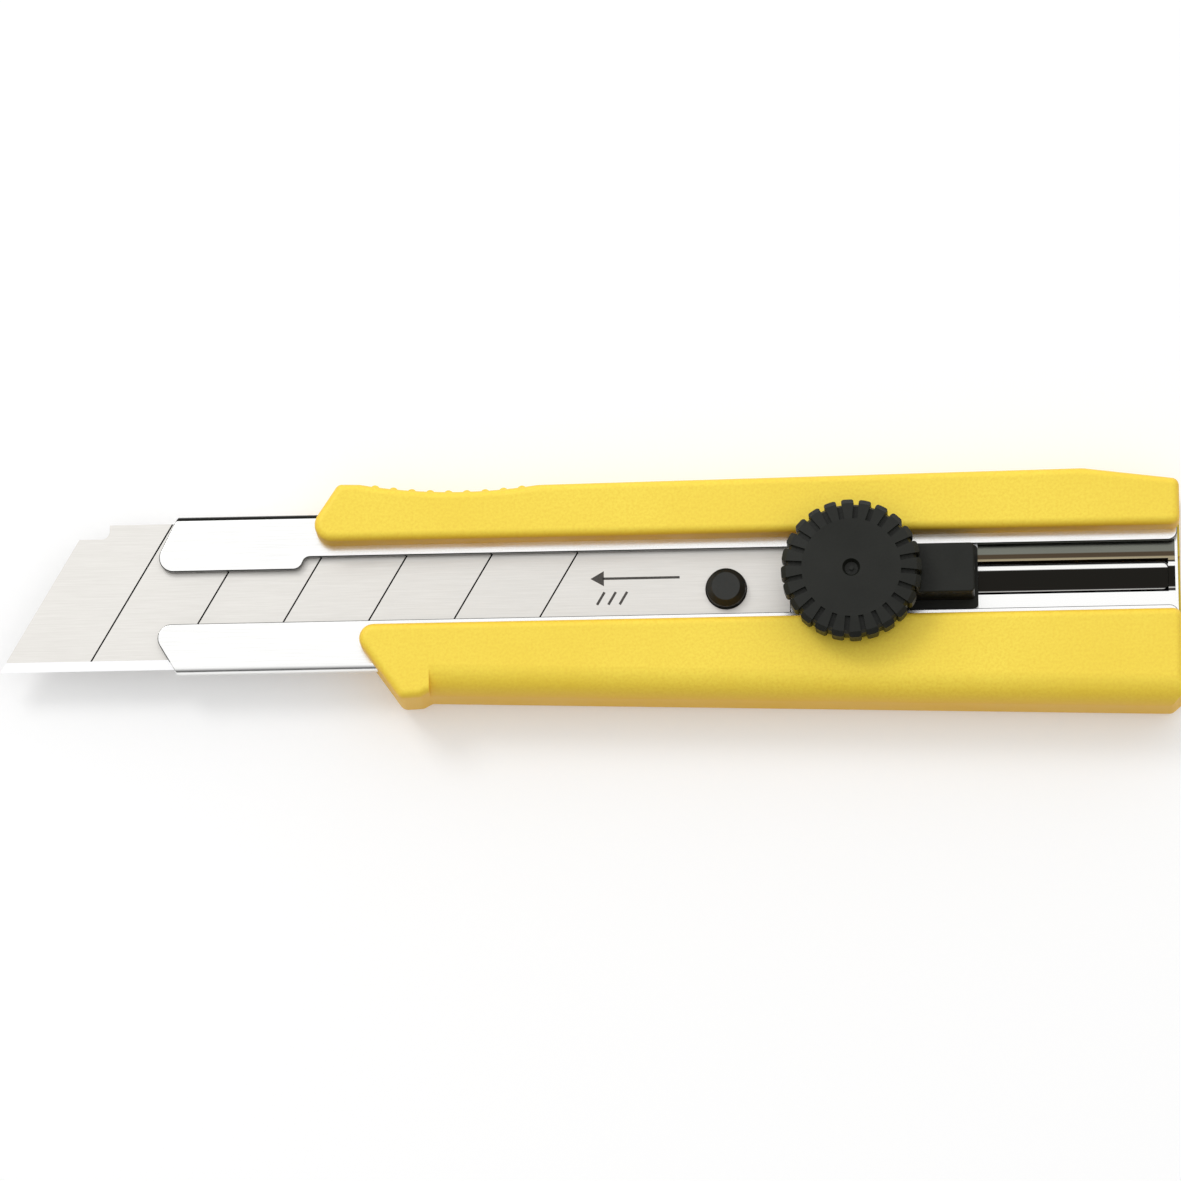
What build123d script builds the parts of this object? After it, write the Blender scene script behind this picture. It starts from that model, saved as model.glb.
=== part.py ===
from build123d import *
import math
import os

# Snap-off knife with a 25 mm blade, a folded steel channel, a moulded handle and a screw lock.
#
# Handle frame, used while modelling: x = 0 at the rear end of the handle and negative towards the
# tip, y = 0 on the centreline of the channel and positive towards the blunt spine of the blade,
# z = 0 on the table that the knife's back lies on. Every node is moved once, at export, so that
# the origin of the part is the middle of its bounding box, on the table.
#
# Stations are distances forward of the rear end of the handle.

# ---------------------------------------------------------------- driving dimensions (mm)

LENGTH = 198.5                 # rear end to blade tip, at rest

BLADE_WIDTH = 25.0
BLADE_THICKNESS = 0.7
BLADE_TAIL = 65.5              # station of the square tail
SEGMENT_PITCH = 14.4
SCORE_LINES = 6
SCORE_ANGLE = 59.4             # degrees from the cutting edge
SCORE_WIDTH = 0.26
SCORE_DEPTH = 0.16
BEVEL_WIDTH = 1.65
EDGE_THICKNESS = 0.06
NOTCH_DEPTH = 2.4
NOTCH_STATION = 180.0
NOTCH_RADIUS = 1.4
BLADE_HOLE_DIAMETER = 6.6
BLADE_HOLE_STATION = 76.15
BLADE_HOLE_Y = -0.6
HOLE_CHAMFER = 0.22

SHEET = 0.9                    # thickness of the channel's steel
CHANNEL_WIDTH = 27.0
CHANNEL_REAR = 0.4
CHANNEL_FOLD_RADIUS = 1.2
INSIDE_FOLD_RADIUS = 0.1
FRONT_TOP_STATION = 168.3      # front of the fold on the spine side
FRONT_BOTTOM_STATION = 168.6   # front of the fold on the edge side
FRONT_STATION = 172.1          # foremost point of the floor
UPPER_LIP_POINT = 173.0        # corner of the upper lip, before it is rounded
LOWER_LIP_POINT = 173.6        # corner of the lower lip, before it is rounded
SLOT_TOP = 6.1                 # edge of the upper lip
SLOT_BOTTOM = -5.0             # edge of the lower lip
SHOE_EDGE = 4.0                # edge of the upper lip where it widens into the shoe
SHOE_STATION = 147.8           # where the shoe has its full width
SHOE_STEP = 0.9                # length of the S-shaped step
SHOE_RADIUS = 1.7
SHOE_REAR_RADIUS = 1.2
LIP_CORNER_RADIUS = 2.4
LIP_REAR_RADIUS = 1.6
LIP_EDGE_RADIUS = 0.18
GROOVE_WIDTH = 4.7
GROOVE_DEPTH = 1.1
GROOVE_END = 2.0               # station where the groove is closed behind
GROOVE_END_RADIUS = 1.0
GROOVE_FLOOR_RADIUS = 0.15
GROOVE_EDGE_EASING = 0.7

LIP_TOP = 8.5                  # outer surface of the lips
BLADE_ROOM = 1.25              # height inside the channel
LAND_TOP = LIP_TOP - SHEET - BLADE_ROOM
BLADE_BOTTOM = LAND_TOP + 0.05

GRIP_HEIGHT = 13.3
GRIP_TOP = 17.8                # highest point of the handle over the centreline
GRIP_BOTTOM = -22.5            # lowest point
BAND_TOP_EDGE = 7.86           # inner edge of the upper band
BAND_BOTTOM_EDGE = -6.4        # inner edge of the lower band
UPPER_BAND_FRONT = 147.6       # corners of the bands, before they are rounded
LOWER_BAND_FRONT = 139.8
UPPER_BAND_RADIUS = 2.9
LOWER_BAND_RADIUS = 2.4
BACK_POINT_RADIUS = 4.0        # rounding of the foremost point of the back
BAND_REAR_RADIUS = 1.4
BAND_EDGE_RADIUS = 1.3
BACK_EDGE_RADIUS = 2.6
POCKET_CLEARANCE = 0.05
PALM_RADIUS = 4.6              # rounding of the long lower front edge
CREASE_STATION = 125.9         # where that rounding runs out behind the finger nose
CREASE_Y = -18.35
BACK_POINT = (148.1, 7.0)      # foremost point of the back, under the channel
RIDGES = 9
RIDGE_PITCH = 3.09
RIDGE_FIRST = 110.1
RIDGE_RADIUS = 0.85
RIDGE_PROUD = 0.42
RIDGE_BOTTOM = 2.9
RIDGE_TOP = 11.6

WHEEL_STATION = 54.9
WHEEL_RADIUS = 11.75
WHEEL_FACE_RADIUS = 8.3
WHEEL_BOTTOM = 14.9
WHEEL_TOP = 20.0
WHEEL_SLOTS = 24
WHEEL_SLOT_WIDTH = 0.88
WHEEL_SLOT_DEPTH = 0.75
RIM_DROP = 0.22                # how far the bevel falls towards the rim
RIM_ROUND = 0.8
GATE_RADIUS = 1.5              # sunk moulding gate in the middle of the face
GATE_DEPTH = 1.1
GATE_NUB_RADIUS = 0.35
GATE_NUB_HEIGHT = 0.5
TOOTH_RADIUS = 0.45            # rounding of the tooth corners
WHEEL_SLOT_PHASE = 5.0         # degrees
STUD_RADIUS = 2.45
STUD_TOP = 15.9
STUD_POINT = 0.6               # chamfer at the top of the stud
THREAD_CLEARANCE = 0.05
COLLAR_RADIUS = 5.2            # foot of the brass nut, below the moulded wheel
INSERT_RADIUS = 3.95
INSERT_WAIST_DEPTH = 0.5
INSERT_WAIST_LENGTH = 1.2
INSERT_TOP = 18.1

PRESSURE_PLATE_LENGTH = 14.0
PRESSURE_PLATE_WIDTH = 13.2
PRESSURE_PLATE_THICKNESS = 0.86
SEAT_GAP = 0.03                # between clamped faces of different bodies

SLIDER_REAR = 33.9
SLIDER_FRONT = 65.2
KEY_CLEARANCE = 0.15
LEDGE_TOP = 7.9
BLOCK_REAR = 34.45
BLOCK_FRONT = 47.4
BLOCK_BOTTOM_EDGE = -3.4
BLOCK_TOP_EDGE = 5.0
BLOCK_TOP = 14.7
BLOCK_CORNER_RADIUS = 0.7
BLOCK_EDGE_RADIUS = 0.3

TONGUE_WIDTH = 4.2
TONGUE_THICKNESS = 1.0
TONGUE_REAR = 41.4
TONGUE_FRONT = 79.4
BOSS_RADIUS = 3.25
BOSS_TOP_RADIUS = 2.37
BOSS_HEIGHT = 3.3
BOSS_SHANK_RADIUS = 1.2
RIVET_RADIUS = 1.2
PLATE_RIVET_STATIONS = (45.4, 63.0)
PEG_STATION = 37.2
PEG_RADIUS = 1.3
PEG_SPACING = 6.4

CHANNEL_RIVET_STATIONS = (49.5, 128.0)
CHANNEL_RIVET_RADIUS = 1.5
RIVET_HEAD_RADIUS = 3.0
RIVET_HEAD_THICKNESS = 1.2
COUNTERBORE_RADIUS = 3.4
COUNTERBORE_DEPTH = 2.0

# ---------------------------------------------------------------- worked-out dimensions

SLOT_CENTRE = (SLOT_TOP + SLOT_BOTTOM) / 2
SLOT_WIDTH = SLOT_TOP - SLOT_BOTTOM
LAND_BOTTOM = LAND_TOP - SHEET
GROOVE_TOP = LAND_TOP - GROOVE_DEPTH
GROOVE_BOTTOM = GROOVE_TOP - SHEET
LIP_BOTTOM = LIP_TOP - SHEET
BLADE_TOP = BLADE_BOTTOM + BLADE_THICKNESS
SCORE_LEAN = BLADE_WIDTH / math.tan(math.radians(SCORE_ANGLE))
CLAMP_TOP = LIP_BOTTOM - SEAT_GAP
PRESSURE_PLATE_BOTTOM = LIP_TOP + SEAT_GAP
NUT_BOTTOM = PRESSURE_PLATE_BOTTOM + PRESSURE_PLATE_THICKNESS + SEAT_GAP
ORIGIN_SHIFT = (LENGTH / 2, -(GRIP_TOP + GRIP_BOTTOM) / 2, 0)


# ---------------------------------------------------------------- helpers

def plan(points):
    """Closed face in the XY plane from (station, y) points joined by straight lines."""
    return make_face(Polyline(*[(-station, y) for station, y in points], close=True))


def corner(face, station, y, radius):
    """Round the corner of a plan face that lies nearest to (station, y)."""
    target = Vector(-station, y, 0)
    nearest = min(face.vertices(), key=lambda v: (Vector(v.X, v.Y, v.Z) - target).length)
    return fillet(nearest, radius)


def slab(face, bottom, top):
    """Solid with the given plan between two heights."""
    return extrude(Pos(0, 0, bottom) * face, top - bottom, dir=(0, 0, 1))


def block(stations, ys, zs):
    """Box between two stations, two y values and two heights."""
    size = (stations[1] - stations[0], ys[1] - ys[0], zs[1] - zs[0])
    centre = (-(stations[0] + stations[1]) / 2, (ys[0] + ys[1]) / 2, (zs[0] + zs[1]) / 2)
    return Pos(*centre) * Box(*size)


def pin(station, y, radius, bottom, top):
    """Upright cylinder."""
    return Pos(-station, y, (bottom + top) / 2) * Cylinder(radius, top - bottom)


def turned(profile, station, y):
    """Solid of revolution about an upright axis, from (radius, height) points."""
    face = make_face(Plane.XZ * Polyline(*profile, close=True))
    return Pos(-station, y, 0) * revolve(face, Axis.Z)


def edges_at_height(shape, height, tolerance=1e-3):
    """Edges that lie wholly at one height."""
    flat = []
    for edge in shape.edges():
        bounds = edge.bounding_box()
        if abs(bounds.min.Z - height) < tolerance and abs(bounds.max.Z - height) < tolerance:
            flat.append(edge)
    return flat


# ---------------------------------------------------------------- blade

def make_blade():
    """Flat strip, ground on both faces along the cutting edge, scored across one face."""
    half = BLADE_WIDTH / 2
    middle = BLADE_BOTTOM + BLADE_THICKNESS / 2
    section = make_face(Plane.YZ * Polyline(
        (-half, middle - EDGE_THICKNESS / 2),
        (-half + BEVEL_WIDTH, BLADE_BOTTOM),
        (half, BLADE_BOTTOM),
        (half, BLADE_TOP),
        (-half + BEVEL_WIDTH, BLADE_TOP),
        (-half, middle + EDGE_THICKNESS / 2),
        close=True,
    ))
    strip = extrude(Pos(-LENGTH, 0, 0) * section, LENGTH - BLADE_TAIL, dir=(1, 0, 0))

    outline = plan([
        (LENGTH, -half),
        (LENGTH - SCORE_LEAN, half),
        (BLADE_TAIL, half),
        (BLADE_TAIL, -half),
    ])
    outline = corner(outline, BLADE_TAIL, half, 1.0)
    outline = corner(outline, BLADE_TAIL, -half, 1.0)
    notch = plan([
        (NOTCH_STATION, half + NOTCH_DEPTH),
        (LENGTH, half + NOTCH_DEPTH),
        (LENGTH, half - NOTCH_DEPTH),
        (NOTCH_STATION, half - NOTCH_DEPTH),
    ])
    notch = corner(notch, NOTCH_STATION, half - NOTCH_DEPTH, NOTCH_RADIUS)
    blade = strip & slab(outline - notch, 0, LIP_TOP)

    score_length = 2 * BLADE_WIDTH
    for number in range(1, SCORE_LINES + 1):
        station = LENGTH - number * SEGMENT_PITCH - SCORE_LEAN / 2
        groove = Box(score_length, SCORE_WIDTH, 2 * SCORE_DEPTH)
        blade -= Pos(-station, 0, BLADE_TOP) * Rot(0, 0, SCORE_ANGLE) * groove

    blade -= pin(BLADE_HOLE_STATION, BLADE_HOLE_Y, BLADE_HOLE_DIAMETER / 2, 0, LIP_TOP)
    rim = [
        edge for edge in edges_at_height(blade, BLADE_TOP)
        if edge.geom_type == GeomType.CIRCLE and abs(edge.radius - BLADE_HOLE_DIAMETER / 2) < 1e-3
    ]
    return chamfer(rim, HOLE_CHAMFER)


# ---------------------------------------------------------------- channel

def channel_outline():
    """Plan of the whole channel, with its pointed front."""
    half = CHANNEL_WIDTH / 2
    outline = plan([
        (CHANNEL_REAR, half),
        (FRONT_TOP_STATION, half),
        (FRONT_STATION - 0.2, SLOT_TOP + 0.6),
        (FRONT_STATION, SLOT_BOTTOM - 2.6),
        (FRONT_BOTTOM_STATION, -half),
        (CHANNEL_REAR, -half),
    ])
    outline = corner(outline, FRONT_STATION - 0.2, SLOT_TOP + 0.6, 2.0)
    return corner(outline, FRONT_STATION, SLOT_BOTTOM - 2.6, 2.0)


def lip_outline():
    """Plan of the two lips: the outline less the slot, with the rounded front corners."""
    half = CHANNEL_WIDTH / 2
    step_rear = SHOE_STATION - SHOE_STEP
    upper = plan([
        (CHANNEL_REAR, half),
        (FRONT_TOP_STATION, half),
        (UPPER_LIP_POINT, SHOE_EDGE),
        (SHOE_STATION, SHOE_EDGE),
        (step_rear, SLOT_TOP),
        (CHANNEL_REAR, SLOT_TOP),
    ])
    upper = corner(upper, UPPER_LIP_POINT, SHOE_EDGE, LIP_CORNER_RADIUS)
    upper = corner(upper, SHOE_STATION, SHOE_EDGE, SHOE_RADIUS)
    upper = corner(upper, step_rear, SLOT_TOP, SHOE_REAR_RADIUS)
    upper = corner(upper, CHANNEL_REAR, SLOT_TOP, LIP_REAR_RADIUS)
    lower = plan([
        (CHANNEL_REAR, SLOT_BOTTOM),
        (LOWER_LIP_POINT, SLOT_BOTTOM),
        (FRONT_BOTTOM_STATION, -half),
        (CHANNEL_REAR, -half),
    ])
    lower = corner(lower, LOWER_LIP_POINT, SLOT_BOTTOM, LIP_CORNER_RADIUS)
    lower = corner(lower, CHANNEL_REAR, SLOT_BOTTOM, LIP_REAR_RADIUS)
    return upper + lower


def make_channel():
    """Sheet folded into a flat C, with a pressed groove along the middle of its floor."""
    front = LOWER_LIP_POINT
    length = front - CHANNEL_REAR
    height = LIP_TOP - LAND_BOTTOM
    outside = Pos(0, (LIP_TOP + LAND_BOTTOM) / 2) * RectangleRounded(
        CHANNEL_WIDTH, height, CHANNEL_FOLD_RADIUS)
    inside = Pos(0, (LIP_BOTTOM + LAND_TOP) / 2) * RectangleRounded(
        CHANNEL_WIDTH - 2 * SHEET, BLADE_ROOM, INSIDE_FOLD_RADIUS)
    rib = Pos(SLOT_CENTRE, (GROOVE_BOTTOM + LAND_TOP) / 2) * RectangleRounded(
        GROOVE_WIDTH + 2 * SHEET, LAND_TOP - GROOVE_BOTTOM, 0.5)
    section = outside + rib - inside
    sheet = extrude(
        Plane.YZ.offset(-front) * section, length, dir=(1, 0, 0))
    groove = block(
        (GROOVE_END, LENGTH),
        (SLOT_CENTRE - GROOVE_WIDTH / 2, SLOT_CENTRE + GROOVE_WIDTH / 2),
        (GROOVE_TOP, LIP_BOTTOM),
    )
    groove = fillet(groove.edges().filter_by(Axis.Z).group_by(Axis.X)[-1], GROOVE_END_RADIUS)
    sheet -= fillet(groove.faces().sort_by(Axis.Z)[0].edges(), GROOVE_FLOOR_RADIUS)
    easing = Rot(45, 0, 0) * Box(LENGTH, GROOVE_EDGE_EASING, GROOVE_EDGE_EASING)
    for edge_y in (-GROOVE_WIDTH / 2, GROOVE_WIDTH / 2):
        sheet -= Pos(-GROOVE_END - LENGTH / 2, SLOT_CENTRE + edge_y, LAND_TOP) * easing

    split = (LIP_BOTTOM + LAND_TOP) / 2
    shape = slab(channel_outline(), 0, split) + slab(lip_outline(), split, LIP_TOP + 1)
    channel = sheet & shape
    for station in CHANNEL_RIVET_STATIONS:
        channel -= pin(station, SLOT_CENTRE, CHANNEL_RIVET_RADIUS, 0, LAND_TOP)
    return fillet(edges_at_height(channel, LIP_TOP), LIP_EDGE_RADIUS)


# ---------------------------------------------------------------- handle

def grip_outline():
    """Plan of the handle: thumb dip on the spine side, finger nose on the edge side."""
    dip_front = (137.4, 17.5)
    dip_rear = (107.4, 16.85)
    top = [
        Line((-141.0, GRIP_TOP - 0.2), (-dip_front[0], dip_front[1])),
        ThreePointArc(
            (-dip_front[0], dip_front[1]), (-123.0, 15.95), (-dip_rear[0], dip_rear[1])),
        Line((-dip_rear[0], dip_rear[1]), (-16.0, GRIP_TOP)),
        Line((-16.0, GRIP_TOP), (0, 15.7)),
    ]
    rest = Polyline(
        (0, 15.7),
        (0, GRIP_BOTTOM + 1.6),
        (-1.8, GRIP_BOTTOM),
        (-CREASE_STATION, CREASE_Y),
        (-127.4, -19.15),
        (-130.8, -19.3),
        (-140.1, -6.0),
        (-BACK_POINT[0], BACK_POINT[1]),
        (-141.0, GRIP_TOP - 0.2),
    )
    outline = make_face([*top, *rest.edges()])
    outline = corner(outline, 0, 15.7, 1.3)
    outline = corner(outline, 0, GRIP_BOTTOM + 1.6, 1.0)
    outline = corner(outline, 1.8, GRIP_BOTTOM, 1.5)
    outline = corner(outline, 130.8, -19.3, 1.4)
    outline = corner(outline, 127.4, -19.15, 1.2)
    outline = corner(outline, CREASE_STATION, CREASE_Y, 1.0)
    outline = corner(outline, 141.0, GRIP_TOP - 0.2, 1.2)
    outline = corner(outline, 16.0, GRIP_TOP, 8.0)
    return outline


def band_outline():
    """Plan of the two front bands: the outline less the gap between them."""
    gap = plan([
        (-BLADE_WIDTH, BAND_TOP_EDGE),
        (LENGTH, BAND_TOP_EDGE),
        (LENGTH, BAND_BOTTOM_EDGE),
        (-BLADE_WIDTH, BAND_BOTTOM_EDGE),
    ])
    bands = grip_outline() - gap
    bands = corner(bands, 0, BAND_TOP_EDGE, BAND_REAR_RADIUS)
    bands = corner(bands, 0, BAND_BOTTOM_EDGE, BAND_REAR_RADIUS)
    bands = corner(bands, UPPER_BAND_FRONT, BAND_TOP_EDGE, UPPER_BAND_RADIUS)
    return corner(bands, LOWER_BAND_FRONT, BAND_BOTTOM_EDGE, LOWER_BAND_RADIUS)


def palm_round():
    """Cutter that rounds the long lower front edge, from the rear end to the finger nose."""
    rear = Vector(0, GRIP_BOTTOM - 0.06, 0)
    front = Vector(-CREASE_STATION, CREASE_Y, 0)
    run = front - rear
    bar_side = PALM_RADIUS + 1
    corner_bar = Box(run.length + 6, bar_side, bar_side)
    barrel = Rot(0, 90, 0) * Cylinder(PALM_RADIUS, run.length + 8)
    quarter = Pos(0, -bar_side / 2, bar_side / 2) * corner_bar - barrel
    quarter = Pos(0, PALM_RADIUS, GRIP_HEIGHT - PALM_RADIUS) * quarter
    turn = math.degrees(math.atan2(-run.Y, -run.X))
    middle = (rear + front) / 2
    trim = block((-9, CREASE_STATION), (2 * GRIP_BOTTOM, 0), (0, 2 * GRIP_HEIGHT))
    return (Pos(middle.X, middle.Y, 0) * Rot(0, 0, turn) * quarter) & trim


def thumb_ridges():
    """Upright ribs across the thumb dip, sunk in it so that only their crowns stand out."""
    dip = slab(grip_outline(), 0, 1)
    ridges = []
    for number in range(RIDGES):
        station = RIDGE_FIRST + number * RIDGE_PITCH
        probe = block((station - 0.01, station + 0.01), (0, GRIP_TOP), (0, 1))
        surface = (dip & probe).bounding_box().max.Y
        ridges.append(pin(
            station,
            surface + RIDGE_PROUD - RIDGE_RADIUS,
            RIDGE_RADIUS,
            RIDGE_BOTTOM,
            RIDGE_TOP,
        ))
    return ridges


def make_grip():
    """One moulding: back, both sides and two bands over the lips of the channel."""
    back = slab(corner(grip_outline(), *BACK_POINT, BACK_POINT_RADIUS), 0, LIP_TOP)
    bands = slab(band_outline(), LIP_TOP, GRIP_HEIGHT)
    grip = back + bands
    grip = fillet(edges_at_height(grip, GRIP_HEIGHT), BAND_EDGE_RADIUS)
    grip = fillet(edges_at_height(grip, 0), BACK_EDGE_RADIUS)

    grip -= palm_round()

    half = CHANNEL_WIDTH / 2 + POCKET_CLEARANCE
    rib_half = GROOVE_WIDTH / 2 + SHEET + POCKET_CLEARANCE
    ends = (-1, LENGTH)
    grip -= block(ends, (-half, half), (LAND_BOTTOM, LIP_TOP + POCKET_CLEARANCE))
    grip -= block(
        ends, (SLOT_CENTRE - rib_half, SLOT_CENTRE + rib_half), (GROOVE_BOTTOM, LIP_TOP))
    for ridge in thumb_ridges():
        grip += ridge
    for station in CHANNEL_RIVET_STATIONS:
        grip -= pin(station, SLOT_CENTRE, CHANNEL_RIVET_RADIUS, -1, LIP_TOP)
        grip -= pin(station, SLOT_CENTRE, COUNTERBORE_RADIUS, -1, COUNTERBORE_DEPTH)
    return grip


def make_channel_rivets():
    """Two rivets from the back, closed flush with the bottom of the channel's groove."""
    head_bottom = COUNTERBORE_DEPTH - RIVET_HEAD_THICKNESS
    profile = [
        (0, head_bottom),
        (RIVET_HEAD_RADIUS - 0.5, head_bottom),
        (RIVET_HEAD_RADIUS, head_bottom + 0.4),
        (RIVET_HEAD_RADIUS, COUNTERBORE_DEPTH),
        (CHANNEL_RIVET_RADIUS, COUNTERBORE_DEPTH),
        (CHANNEL_RIVET_RADIUS, GROOVE_TOP),
        (0, GROOVE_TOP),
    ]
    return Compound([turned(profile, station, SLOT_CENTRE) for station in CHANNEL_RIVET_STATIONS])


# ---------------------------------------------------------------- slider

def make_slider_body():
    """Moulded key that fills the slot, with a tall block behind the wheel."""
    bottom = SLOT_BOTTOM + KEY_CLEARANCE
    top = SLOT_TOP - KEY_CLEARANCE
    key = block((SLIDER_REAR, SLIDER_FRONT), (bottom, top), (CLAMP_TOP, LEDGE_TOP))
    key = fillet(key.edges().filter_by(Axis.Z), BLOCK_CORNER_RADIUS)
    tower = block(
        (BLOCK_REAR, BLOCK_FRONT),
        (BLOCK_BOTTOM_EDGE, BLOCK_TOP_EDGE),
        (CLAMP_TOP, BLOCK_TOP),
    )
    tower = fillet(tower.edges().filter_by(Axis.Z).group_by(Axis.X)[-1], BLOCK_CORNER_RADIUS)
    tower = fillet(tower.faces().sort_by(Axis.Z)[-1].edges(), BLOCK_EDGE_RADIUS)
    body = key + tower
    for y in peg_places():
        body += pin(PEG_STATION, y, PEG_RADIUS, BLADE_BOTTOM, LEDGE_TOP)
    return body - pin(WHEEL_STATION, 0, STUD_RADIUS + POCKET_CLEARANCE, CLAMP_TOP, LEDGE_TOP)


def peg_places():
    """y of the two pegs that hold the moulded key on its plate."""
    return (SLOT_CENTRE - PEG_SPACING / 2, SLOT_CENTRE + PEG_SPACING / 2)


def make_clamp_plate():
    """Steel plate under the lips: the tight wheel pulls it up against them."""
    half = BLADE_WIDTH / 2 - 0.3
    plate = block((SLIDER_REAR, SLIDER_FRONT), (-half, half), (BLADE_BOTTOM, CLAMP_TOP))
    plate = fillet(plate.edges().filter_by(Axis.Z), 1.2)
    for station in PLATE_RIVET_STATIONS:
        plate -= pin(station, SLOT_CENTRE, RIVET_RADIUS, 0, LIP_TOP)
    for y in peg_places():
        plate -= pin(PEG_STATION, y, PEG_RADIUS, 0, LIP_TOP)
    return plate - turned(stud_shank(), WHEEL_STATION, 0)


def stud_shank():
    """Countersunk foot of the stud, from (radius, height) points."""
    head_radius = STUD_RADIUS + 0.75
    return [
        (0, BLADE_BOTTOM),
        (head_radius, BLADE_BOTTOM),
        (STUD_RADIUS, BLADE_BOTTOM + 0.75),
        (STUD_RADIUS, CLAMP_TOP),
        (0, CLAMP_TOP),
    ]


def make_lock_stud():
    """Threaded stud, countersunk in the clamp plate and standing up into the wheel."""
    foot = stud_shank()
    profile = foot[:-2] + [
        (STUD_RADIUS, STUD_TOP - STUD_POINT),
        (STUD_RADIUS - STUD_POINT, STUD_TOP),
        (0, STUD_TOP),
    ]
    return turned(profile, WHEEL_STATION, 0)


def make_tongue_plate():
    """Steel strip in the groove of the channel, from the clamp plate to the blade's hole."""
    half = TONGUE_WIDTH / 2
    strip = block(
        (TONGUE_REAR, TONGUE_FRONT),
        (SLOT_CENTRE - half, SLOT_CENTRE + half),
        (BLADE_BOTTOM - TONGUE_THICKNESS, BLADE_BOTTOM),
    )
    strip = fillet(strip.edges().filter_by(Axis.Z), 0.8)
    for station in PLATE_RIVET_STATIONS:
        strip -= pin(station, SLOT_CENTRE, RIVET_RADIUS, 0, LIP_TOP)
    return strip - pin(BLADE_HOLE_STATION, BLADE_HOLE_Y, BOSS_SHANK_RADIUS, 0, LIP_TOP)


def make_plate_rivets():
    """Two flush rivets through the tongue and the clamp plate."""
    bottom = BLADE_BOTTOM - TONGUE_THICKNESS
    return Compound([
        pin(station, SLOT_CENTRE, RIVET_RADIUS, bottom, CLAMP_TOP)
        for station in PLATE_RIVET_STATIONS
    ])


def make_blade_boss():
    """Coned boss that stands through the blade's hole, riveted in the tongue."""
    top = BLADE_BOTTOM + BOSS_HEIGHT
    profile = [
        (0, BLADE_BOTTOM - TONGUE_THICKNESS),
        (BOSS_SHANK_RADIUS, BLADE_BOTTOM - TONGUE_THICKNESS),
        (BOSS_SHANK_RADIUS, BLADE_BOTTOM),
        (BOSS_RADIUS, BLADE_BOTTOM),
        (BOSS_RADIUS, top - 1.0),
        (BOSS_TOP_RADIUS, top),
        (0, top),
    ]
    return turned(profile, BLADE_HOLE_STATION, BLADE_HOLE_Y)


# ---------------------------------------------------------------- lock

def make_pressure_plate():
    """Plate that the wheel's nut presses down on the outside of the lips."""
    length = PRESSURE_PLATE_LENGTH / 2
    width = PRESSURE_PLATE_WIDTH / 2
    plate = block(
        (WHEEL_STATION - length, WHEEL_STATION + length),
        (SLOT_CENTRE - width, SLOT_CENTRE + width),
        (PRESSURE_PLATE_BOTTOM, PRESSURE_PLATE_BOTTOM + PRESSURE_PLATE_THICKNESS),
    )
    plate = fillet(plate.edges().filter_by(Axis.Z), 1.5)
    return plate - pin(WHEEL_STATION, 0, STUD_RADIUS + 0.25, 0, LENGTH)


def make_wheel_insert():
    """Brass nut moulded into the wheel: a collar below it and a waist that the plastic grips."""
    bore = STUD_RADIUS + THREAD_CLEARANCE
    waist_bottom = (WHEEL_BOTTOM + INSERT_TOP - INSERT_WAIST_LENGTH) / 2
    waist_top = waist_bottom + INSERT_WAIST_LENGTH
    waist_radius = INSERT_RADIUS - INSERT_WAIST_DEPTH
    profile = [
        (bore, NUT_BOTTOM),
        (COLLAR_RADIUS, NUT_BOTTOM),
        (COLLAR_RADIUS, WHEEL_BOTTOM),
        (INSERT_RADIUS, WHEEL_BOTTOM),
        (INSERT_RADIUS, waist_bottom),
        (waist_radius, waist_bottom),
        (waist_radius, waist_top),
        (INSERT_RADIUS, waist_top),
        (INSERT_RADIUS, INSERT_TOP),
        (bore, INSERT_TOP),
    ]
    return turned(profile, WHEEL_STATION, 0)


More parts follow.
